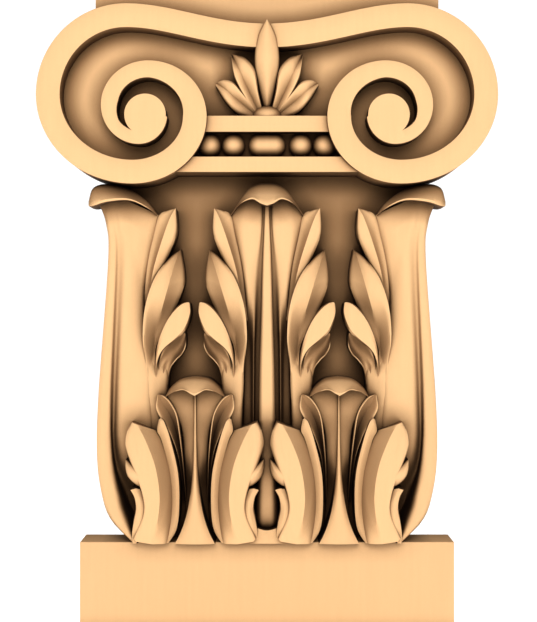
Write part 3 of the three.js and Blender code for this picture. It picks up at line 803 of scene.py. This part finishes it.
def bead_tree():
    """Geometry nodes that string beads outward to both sides of a reel."""
    tree = bpy.data.node_groups.new("bead and reel row", "GeometryNodeTree")
    sizes = {}
    for label in ("Bead radius", "First bead", "Pitch"):
        socket = tree.interface.new_socket(label, in_out="INPUT", socket_type="NodeSocketFloat")
        sizes[label] = socket.identifier
    count = tree.interface.new_socket("Beads a side", in_out="INPUT", socket_type="NodeSocketInt")
    wood = tree.interface.new_socket("Wood", in_out="INPUT", socket_type="NodeSocketMaterial")
    tree.interface.new_socket("Geometry", in_out="OUTPUT", socket_type="NodeSocketGeometry")
    nodes, links = tree.nodes, tree.links
    given = nodes.new("NodeGroupInput").outputs
    bead = nodes.new("GeometryNodeMeshUVSphere")
    bead.inputs["Segments"].default_value = BALL_SEGMENTS
    bead.inputs["Rings"].default_value = BALL_RINGS
    links.new(given["Bead radius"], bead.inputs["Radius"])
    rows = nodes.new("GeometryNodeJoinGeometry")
    for hand in (-1, 1):
        offset = nodes.new("ShaderNodeCombineXYZ")
        start = nodes.new("ShaderNodeCombineXYZ")
        for source, target in (("Pitch", offset), ("First bead", start)):
            signed = nodes.new("ShaderNodeMath")
            signed.operation = "MULTIPLY"
            signed.inputs[1].default_value = hand
            links.new(given[source], signed.inputs[0])
            links.new(signed.outputs[0], target.inputs["X"])
        line = nodes.new("GeometryNodeMeshLine")
        links.new(given["Beads a side"], line.inputs["Count"])
        links.new(start.outputs[0], line.inputs["Start Location"])
        links.new(offset.outputs[0], line.inputs["Offset"])
        strung = nodes.new("GeometryNodeInstanceOnPoints")
        links.new(line.outputs["Mesh"], strung.inputs["Points"])
        links.new(bead.outputs["Mesh"], strung.inputs["Instance"])
        links.new(strung.outputs["Instances"], rows.inputs[0])
    real = nodes.new("GeometryNodeRealizeInstances")
    finish = nodes.new("GeometryNodeSetMaterial")
    links.new(rows.outputs[0], real.inputs[0])
    links.new(real.outputs[0], finish.inputs["Geometry"])
    links.new(given["Wood"], finish.inputs["Material"])
    links.new(finish.outputs[0], nodes.new("NodeGroupOutput").inputs[0])
    return tree, sizes, count.identifier, wood.identifier


def build_bead_row(wood):
    """The beads to either side of a long reel, sunk to their middles in their bed."""
    tree, sizes, count, material = bead_tree()
    row = bpy.data.objects.new("bead_row", bpy.data.meshes.new("bead row"))
    bpy.context.scene.collection.objects.link(row)
    step = row.modifiers.new("string the beads", "NODES")
    step.node_group = tree
    step[sizes["Bead radius"]] = BEAD["radius"] * MM
    step[sizes["First bead"]] = BEAD["first"] * MM
    step[sizes["Pitch"]] = BEAD["pitch"] * MM
    step[count] = BEAD["count"]
    step[material] = wood
    mesh = bpy.data.meshes.new_from_object(row.evaluated_get(bpy.context.evaluated_depsgraph_get()))
    row.modifiers.remove(step)
    row.data = mesh
    add_reel(mesh)
    mesh.transform(Matrix.Translation((0, (BACK - BEAD["height"]) * MM, BEAD["z"] * MM)))
    smooth(row)
    return row


def add_reel(mesh):
    """A reel with round ends, along x, added to the beads' mesh."""
    work = bmesh.new()
    work.from_mesh(mesh)
    turned = Matrix.Rotation(math.pi / 2, 4, "Y")
    made = bmesh.ops.create_uvsphere(work, u_segments=BALL_SEGMENTS, v_segments=BALL_RINGS,
                                     radius=BEAD["radius"] * MM, matrix=turned)
    stretch = (REEL_LENGTH / 2 - BEAD["radius"]) * MM
    for vertex in made["verts"]:
        if abs(vertex.co.x) >= TOUCHING:
            vertex.co.x += math.copysign(stretch, vertex.co.x)
    work.to_mesh(mesh)
    work.free()


def feed(links, socket, value):
    """Gives a socket its value, which is a plain number or another socket's."""
    if isinstance(value, (int, float)):
        socket.default_value = value
    else:
        links.new(value, socket)


def worked(nodes, links, operation, first, second):
    """A value worked out from two others."""
    node = nodes.new("ShaderNodeMath")
    node.operation = operation
    feed(links, node.inputs[0], first)
    feed(links, node.inputs[1], second)
    return node.outputs[0]


def mapped(nodes, links, value, given, made):
    """A value mapped from one range onto another."""
    node = nodes.new("ShaderNodeMapRange")
    node.inputs["From Min"].default_value, node.inputs["From Max"].default_value = given
    node.inputs["To Min"].default_value, node.inputs["To Max"].default_value = made
    links.new(value, node.inputs["Value"])
    return node.outputs[0]


def blended(nodes, links, factor, first, second):
    """A value between two others, nearer to the second as the factor grows."""
    node = nodes.new("ShaderNodeMix")
    node.data_type = "FLOAT"
    feed(links, node.inputs[0], factor)
    feed(links, node.inputs[2], first)
    feed(links, node.inputs[3], second)
    return node.outputs[0]


def openness(nodes, reach):
    """How open a place lies within a reach: 1 on an outer face, less in a hollow."""
    node = nodes.new("ShaderNodeAmbientOcclusion")
    node.samples = HOLLOW_SAMPLES
    node.inputs["Distance"].default_value = reach
    return node.outputs["AO"]


def noise(nodes, links, vector, kind):
    node = nodes.new("ShaderNodeTexNoise")
    node.inputs["Scale"].default_value = kind["scale"]
    node.inputs["Detail"].default_value = kind["detail"]
    links.new(vector, node.inputs["Vector"])
    return node.outputs[0]


def add_painted_shade(nodes, links, place, wood_tone, low_shade, steep_shade, depth):
    """Painted shade over a wood's tone: in the hollows, on the low ground and on steep sides."""
    lie = nodes.new("ShaderNodeSeparateXYZ")
    links.new(place.outputs["Object"], lie.inputs[0])
    # Painted shade on the low ground: darker the lower a place lies, up to the unshaded height.
    heights = ((BACK - GROUND_HEIGHT) * MM, (BACK - UNSHADED_HEIGHT) * MM)
    low = mapped(nodes, links, lie.outputs["Y"], heights, (low_shade, 1))
    # Painted shade by slope: steep sides darker, and faces that look up lighter, as if lit from the front
    # and above.
    facing = nodes.new("ShaderNodeSeparateXYZ")
    links.new(place.outputs["Normal"], facing.inputs[0])
    front = worked(nodes, links, "MULTIPLY", facing.outputs["Y"], -1)
    upward = worked(nodes, links, "MULTIPLY", facing.outputs["Z"], UPWARD_SHARE)
    level = worked(nodes, links, "MAXIMUM", front, upward)
    steep = mapped(nodes, links, level, STEEP_RANGE, (steep_shade, 1))
    slope_and_low_shade = worked(nodes, links, "MULTIPLY", low, steep)
    # The painted shade is left off the open outer sides and the back.
    outer = mapped(nodes, links, openness(nodes, OPEN_REACH), OPEN_RANGE, (0, 1))
    kept_shade = blended(nodes, links, outer, slope_and_low_shade, 1)
    # Painted shade in the hollows: ambient occlusion multiplied into the colour.
    hollow = worked(nodes, links, "POWER", openness(nodes, HOLLOW_SHADE_REACH), depth)
    shade_ramp = nodes.new("ShaderNodeValToRGB")
    shade_ramp.color_ramp.elements.new(PAINTED_SHADE_MIDDLE)
    for element, colour in zip(shade_ramp.color_ramp.elements, PAINTED_SHADE_RAMP):
        element.color = colour
    links.new(worked(nodes, links, "MULTIPLY", kept_shade, hollow), shade_ramp.inputs[0])
    painted_shade_mix = nodes.new("ShaderNodeMix")
    painted_shade_mix.data_type = "RGBA"
    painted_shade_mix.blend_type = "MULTIPLY"
    painted_shade_mix.inputs[0].default_value = 1
    links.new(wood_tone, painted_shade_mix.inputs[6])
    links.new(shade_ramp.outputs[0], painted_shade_mix.inputs[7])
    return painted_shade_mix.outputs[2]


def sanded_wood(name, shade, low_shade, steep_shade, depth):
    """Finely sanded pale wood: a long soft grain, fine pores and a faint tooth, its tone scaled by shade,
    under painted shade.
    """
    wood = bpy.data.materials.new(name)
    wood.use_nodes = True
    nodes, links = wood.node_tree.nodes, wood.node_tree.links
    finish = nodes["Principled BSDF"]
    finish.inputs["Roughness"].default_value = WOOD_ROUGHNESS
    finish.inputs["Specular IOR Level"].default_value = WOOD_SHINE
    place = nodes.new("ShaderNodeTexCoord")
    drawn_out = nodes.new("ShaderNodeMapping")
    drawn_out.inputs["Scale"].default_value = (1, 1, GRAIN_STRETCH)
    links.new(place.outputs["Object"], drawn_out.inputs["Vector"])
    grain = noise(nodes, links, drawn_out.outputs[0], GRAIN)
    pores = noise(nodes, links, place.outputs["Object"], PORES)
    tones = nodes.new("ShaderNodeValToRGB")
    for element, position, tone in zip(tones.color_ramp.elements, WOOD_TONE_RANGE, (WOOD_DARK, WOOD_LIGHT)):
        element.position = position
        element.color = [shade * part for part in tone] + [1]
    links.new(blended(nodes, links, PORE_SHARE, grain, pores), tones.inputs[0])
    shaded_tone = add_painted_shade(nodes, links, place, tones.outputs[0], low_shade, steep_shade, depth)
    links.new(shaded_tone, finish.inputs["Base Color"])
    tooth = nodes.new("ShaderNodeBump")
    tooth.inputs["Strength"].default_value = TOOTH_STRENGTH
    tooth.inputs["Distance"].default_value = TOOTH_DEPTH
    links.new(pores, tooth.inputs["Height"])
    links.new(tooth.outputs[0], finish.inputs["Normal"])
    return wood


def plain(name, colour, roughness):
    material = bpy.data.materials.new(name)
    material.use_nodes = True
    finish = material.node_tree.nodes["Principled BSDF"]
    finish.inputs["Base Color"].default_value = colour
    finish.inputs["Roughness"].default_value = roughness
    return material


def area_light(name, size, watts, colour, place, turn):
    lamp = bpy.data.lights.new(name, "AREA")
    lamp.shape = "DISK"
    lamp.size = size
    lamp.energy = watts
    lamp.color = colour
    light = bpy.data.objects.new(name, lamp)
    light.location = place
    light.rotation_euler = turn
    bpy.context.scene.collection.objects.link(light)
    return light


def light_studio():
    """A pale floor, a white surround, a broad soft lamp behind and above the camera, and a wide light
    that lifts the floor alone."""
    floor = bpy.data.meshes.new("floor")
    reach = FLOOR_REACH
    floor.from_pydata([(-reach, -reach, 0), (reach, -reach, 0), (reach, reach, 0), (-reach, reach, 0)],
                      [], [(0, 1, 2, 3)])
    floor.materials.append(plain("pale floor", FLOOR_TONE, FLOOR_ROUGHNESS))
    ground = bpy.data.objects.new("floor", floor)
    bpy.context.scene.collection.objects.link(ground)
    world = bpy.data.worlds.new("white surround")
    bpy.context.scene.world = world
    world.use_nodes = True
    nodes, links = world.node_tree.nodes, world.node_tree.links
    background = nodes["Background"]
    background.inputs["Color"].default_value = (1, 1, 1, 1)
    ray = nodes.new("ShaderNodeLightPath")
    strength = mapped(nodes, links, ray.outputs["Is Camera Ray"], (0, 1), (SURROUND, SEEN_SURROUND))
    links.new(strength, background.inputs["Strength"])
    lift = CAMERA_RISE + LAMP_DISTANCE * math.tan(LAMP_RISE)
    area_light("soft_light", LAMP_SIZE, LAMP_WATTS, LAMP_TINT, (CAMERA_SIDE, -LAMP_DISTANCE, lift),
               (math.radians(90) - LAMP_RISE, 0, 0))
    above = (0, 0, FLOOR_LIGHT_RISE)
    overhead = area_light("floor_light", FLOOR_LIGHT_SIZE, FLOOR_WATTS, (1, 1, 1), above, (0, 0, 0))
    lit = bpy.data.collections.new("lit by the floor light")
    lit.objects.link(ground)
    overhead.light_linking.receiver_collection = lit


def place_camera():
    """A long lens straight in front, a little below the carving's middle."""
    lens = bpy.data.cameras.new("camera")
    lens.sensor_width = SENSOR_WIDTH
    lens.lens = SENSOR_WIDTH * FOCAL_SHARE
    camera = bpy.data.objects.new("camera", lens)
    camera.location = (CAMERA_SIDE, shaft_low[1] - CAMERA_DISTANCE, CAMERA_RISE)
    camera.rotation_euler = (math.radians(90), 0, 0)
    bpy.context.scene.collection.objects.link(camera)
    bpy.context.scene.camera = camera


# Both woods carry painted shade in their colour.
carving_wood = sanded_wood("carved pale wood", 1, LOW_GROUND_SHADE, STEEP_SIDE_SHADE, HOLLOW_SHADE_DEPTH)
shaft_wood = sanded_wood("plain pale wood", SHAFT_SHADE, 1, 1, SHAFT_HOLLOW_SHADE_DEPTH)
capital = build_capital()
shaft = build_shaft()
beads = build_bead_row(carving_wood)
for piece, wood in ((capital, carving_wood), (beads, carving_wood), (shaft, shaft_wood)):
    piece.data.materials.clear()
    piece.data.materials.append(wood)
    for face in piece.data.polygons:
        face.material_index = 0
rides = ((capital, "capital", "carving"), (beads, "capital", "carving"), (shaft, "shaft_block", "shaft"))
for piece, node, slot in rides:
    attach(piece, "root")
    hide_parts(node)
light_studio()
place_camera()
bpy.context.scene.view_settings.view_transform = "Standard"
